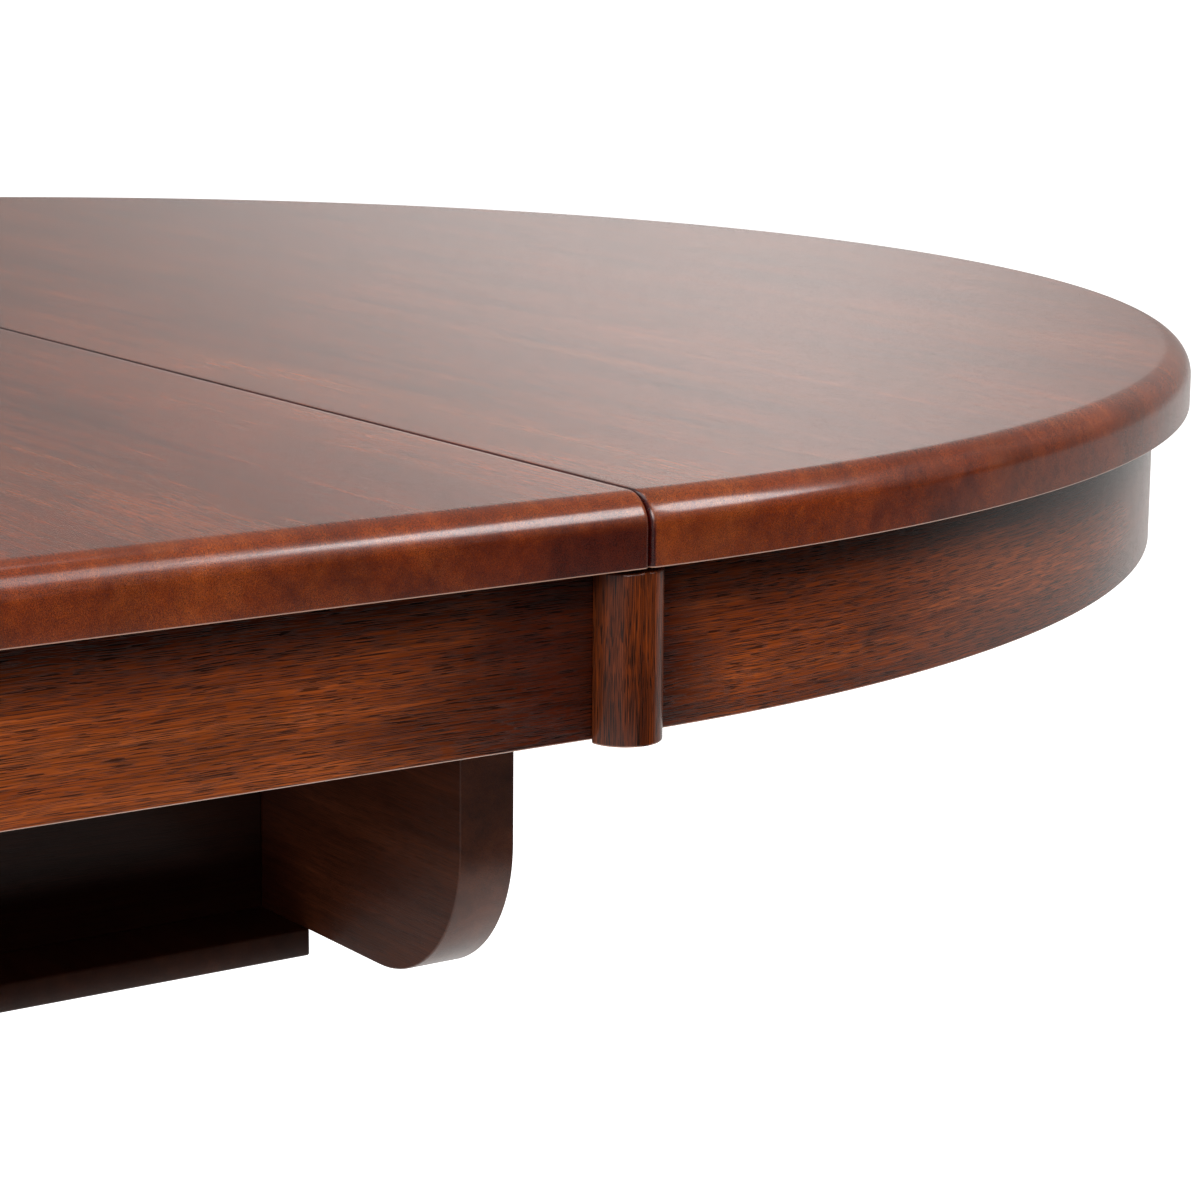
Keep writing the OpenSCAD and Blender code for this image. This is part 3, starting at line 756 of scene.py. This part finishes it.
def foot_sections():
    """(upper point, lower point, share of the thickness) from the hub to the end of the toe."""
    upper = bezier([(60, FOOT_TOP), (200, FOOT_TOP + 6), (FOOT_REACH - 165, 70),
                    (TOE_START, TOE_TOP)], FOOT_STEPS)
    lower = bezier([(60, 132), (190, 160), (FOOT_REACH - 150, 18), (SOLE_START, SOLE_Z)], FOOT_STEPS)
    sections = [(high, low, 1.0) for high, low in zip(upper, lower)]
    for step in range(1, TOE_STEPS + 1):
        t = step / TOE_STEPS
        drop = 1 - sqrt(1 - t ** 2)
        high = (TOE_START + 8 * sin(t * pi / 2), TOE_TOP - 16 * drop)
        low = (SOLE_START + 52 * t, SOLE_Z + 8 * drop)
        sections.append((high, low, 1 - 0.35 * drop))
    return sections


def foot(name, node, angle):
    """A foot that sweeps out and down, softened along its edges, ending in a rounded toe."""
    cosine, sine = cos(radians(angle)), sin(radians(angle))
    outlines = []
    for step, (high, low, share) in enumerate(foot_sections()):
        half = (FOOT_HALF - FOOT_TAPER * min(1.0, step / FOOT_STEPS)) * share
        height = hypot(high[0] - low[0], high[1] - low[1])
        corner = min(9.0, height * 0.3)
        outline = []
        for across, up in rounded_rect(-half, half, 0, height, [4.0, 4.0, corner, corner], 5):
            out, z = [a + (b - a) * up / height for a, b in zip(low, high)]
            outline.append(((out * cosine - across * sine) * MM,
                            (out * sine + across * cosine) * MM, z * MM))
        outlines.append(outline)
    verts, faces = loft(outlines)
    obj = piece(name, "pedestal", "mahogany_top", [node], verts, faces, turned_wood, 35.0)

    def along(co):
        out = co.x * cosine + co.y * sine
        across = co.y * cosine - co.x * sine
        return (out - 0.6 * co.z, co.z + 0.5 * out, across + angle / 100)

    set_grain(obj, along)


column()
for foot_name, foot_angle in (("right_rear", 45), ("left_rear", 135), ("left_front", 225),
                              ("right_front", 315)):
    foot(f"sabre_foot_{foot_name}", f"foot_{foot_name}", foot_angle)


# ---------------------------------------------------------------- carried-over CAD nodes

def finish_node(name, material, bevel=0.0):
    """Gives a CAD node its material, and eases its sharp edges."""
    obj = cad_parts[name]
    obj.data.materials.clear()
    obj.data.materials.append(material)
    if bevel:
        weld = obj.modifiers.new("weld", "WELD")
        weld.merge_threshold = 1e-5
        ease = obj.modifiers.new("ease", "BEVEL")
        ease.width = bevel
        ease.segments = 2
        ease.limit_method = "ANGLE"
        ease.angle_limit = radians(SHARP_ANGLE)


for cad_name in ("apron_blocks_right", "apron_blocks_left", "apron_blocks_leaf"):
    finish_node(cad_name, block_wood, CAD_EASE)
for cad_name in ("fixed_rail_front", "fixed_rail_rear", "right_rail_front", "right_rail_rear",
                 "left_rail_front", "left_rail_rear"):
    finish_node(cad_name, rail_wood_x, CAD_EASE)
for cad_name in ("rail_spreader_right", "rail_spreader_left", "gear_bridge"):
    finish_node(cad_name, rail_wood_y, CAD_EASE)
finish_node("corner_cleats", rail_wood_z, CAD_EASE)
finish_node("foot_dowels", rail_wood_x)
for cad_name in ("rack_right", "rack_left", "pinion", "pinion_axle", "lock_plates",
                 "lock_keepers_right", "lock_keepers_left", "lock_lever_right_front",
                 "lock_lever_right_rear", "lock_lever_left_front", "lock_lever_left_rear",
                 "column_bolts", "column_nuts"):
    finish_node(cad_name, steel)
for cad_name in ("alignment_pins_leaf", "alignment_pins_left", "rack_guides", "panel_screws",
                 "bridge_screws", "fixed_rail_screws", "right_rail_screws", "left_rail_screws"):
    finish_node(cad_name, brass)
finish_node("floor_glides", dark_plastic)


# ---------------------------------------------------------------- studio

FLOOR_RADIUS = 40
BACKDROP_RADIUS = 39
WHITE = (1, 1, 1)
BLACK = (0, 0, 0)
PALE = (0.9, 0.9, 0.9)
WARM_WHITE = (1, 0.965, 0.94)

# Where the camera stands, from the middle of the right seam on top of the table
CAMERA_OFFSET = (-0.7197, -1.6170, 0.2180)
CAMERA_YAW, CAMERA_PITCH, CAMERA_ROLL = radians(34.704), radians(11.694), radians(0.539)
CAMERA_LENS = 107.02
SENSOR_WIDTH = 36


def stage_surface(name, make_form, colour, roughness, glow):
    """A pale surface that glows for the camera only, and lights nothing but itself."""
    mesh = bpy.data.meshes.new(name)
    bm = bmesh.new()
    make_form(bm)
    bm.to_mesh(mesh)
    bm.free()
    obj = bpy.data.objects.new(name, mesh)
    bpy.context.scene.collection.objects.link(obj)
    shader = Shader(name)
    shader.surface({
        "Base Color": colour,
        "Roughness": roughness,
        "Specular IOR Level": 0.0,
        "Emission Color": WHITE,
        "Emission Strength": glow,
    })
    mesh.materials.append(shader.material)
    obj.visible_diffuse = False
    obj.visible_glossy = False
    return obj


def disc(bm):
    bmesh.ops.create_circle(bm, cap_ends=True, segments=96, radius=FLOOR_RADIUS)


def ball(bm):
    bmesh.ops.create_uvsphere(bm, u_segments=64, v_segments=32, radius=BACKDROP_RADIUS)


def studio_world():
    """Soft surround: bright behind and to the right, dim behind the camera, pale from below."""
    world = bpy.data.worlds.new("studio")
    bpy.context.scene.world = world
    world.use_nodes = True
    tree = NodeTree(world.node_tree)
    x, y, z = tree.parts(tree.coordinates("Generated"))
    # Degrees round from the front, positive to the right
    turn = tree.math("ARCTAN2", x, y * -1) * (180 / pi)
    # Level walls: a bright one on the right, which steps down to the back along a leaning edge
    right = turn.fade(65, 125, 0.012, 0.40) + turn.fade(133, 143, 0.0, 0.60)
    back = (turn + (z - 0.1) * 60).fade(146, 156.5, right, 0.27)
    left = turn.fade(-60, -15, 0.35, 0.012)
    walls = back.or_more(left)
    # A dim ceiling
    upper = z.fade(0.30, 0.55, walls, 0.22)
    # Brighter low walls, seen in the faces that lean down
    low_right = turn.fade(98, 120, turn.fade(60, 82, 0.01, 0.43), 0.68)
    low_back = turn.fade(122, 143, low_right, 0.95)
    low_left = turn.fade(-46, -28, 0.36, 0.01)
    level = z.fade(-0.10, 0.0, low_back.or_more(low_left), upper)
    # A pale floor
    level = z.fade(-0.62, -0.38, 1.25, level)
    background = tree.nodes["Background"]
    tree.put(level, background.inputs["Strength"])
    tree.put(WARM_WHITE, background.inputs["Color"])


def softbox(name, place, target, size, power):
    """A rectangular light that looks from its place at a target, in metres and watts."""
    light = bpy.data.lights.new(name, "AREA")
    light.shape = "RECTANGLE"
    light.size, light.size_y = size
    light.energy = power
    obj = bpy.data.objects.new(name, light)
    obj.location = place
    aim = Vector(target) - Vector(place)
    obj.rotation_euler = aim.to_track_quat("-Z", "Y").to_euler()
    bpy.context.scene.collection.objects.link(obj)


def camera():
    """Close, just above the top, looking across the right seam to the rounded end."""
    data = bpy.data.cameras.new("camera")
    data.lens = CAMERA_LENS
    data.sensor_width = SENSOR_WIDTH
    data.clip_end = 5 * FLOOR_RADIUS
    obj = bpy.data.objects.new("camera", data)
    forward = Vector((sin(CAMERA_YAW) * cos(CAMERA_PITCH), cos(CAMERA_YAW) * cos(CAMERA_PITCH),
                      -sin(CAMERA_PITCH)))
    right = Vector((cos(CAMERA_YAW), -sin(CAMERA_YAW), 0))
    up = right.cross(forward)
    tilted_right = right * cos(CAMERA_ROLL) + up * sin(CAMERA_ROLL)
    tilted_up = up * cos(CAMERA_ROLL) - right * sin(CAMERA_ROLL)
    turn = Matrix((tilted_right, tilted_up, -forward)).transposed()
    dx, dy, dz = CAMERA_OFFSET
    obj.matrix_world = Matrix.Translation((SEAM_X + dx, dy, TOP_Z + dz)) @ turn.to_4x4()
    bpy.context.scene.collection.objects.link(obj)
    bpy.context.scene.camera = obj


stage_surface("studio_floor", disc, PALE, 0.9, 1.02)
backdrop = stage_surface("studio_backdrop", ball, BLACK, 0.5, 1.05)
backdrop.visible_shadow = False
studio_world()
softbox("key_softbox", (1.95, -1.9, 2.45), (0.3, -0.5, 0.75), (0.9, 0.95), 33)
softbox("side_softbox", (0.75, -1.9, 2.45), (0.1, -0.5, 0.75), (1.4, 0.95), 15)
softbox("front_softbox", (-1.6, -3.2, 2.6), (0.2, -0.3, 0.7), (2.0, 1.4), 90)
softbox("top_fill", (-0.3, 0.4, 3.4), (0, 0, 0.7), (2.5, 2.5), 45)
camera()
bpy.context.scene.view_settings.view_transform = "Standard"
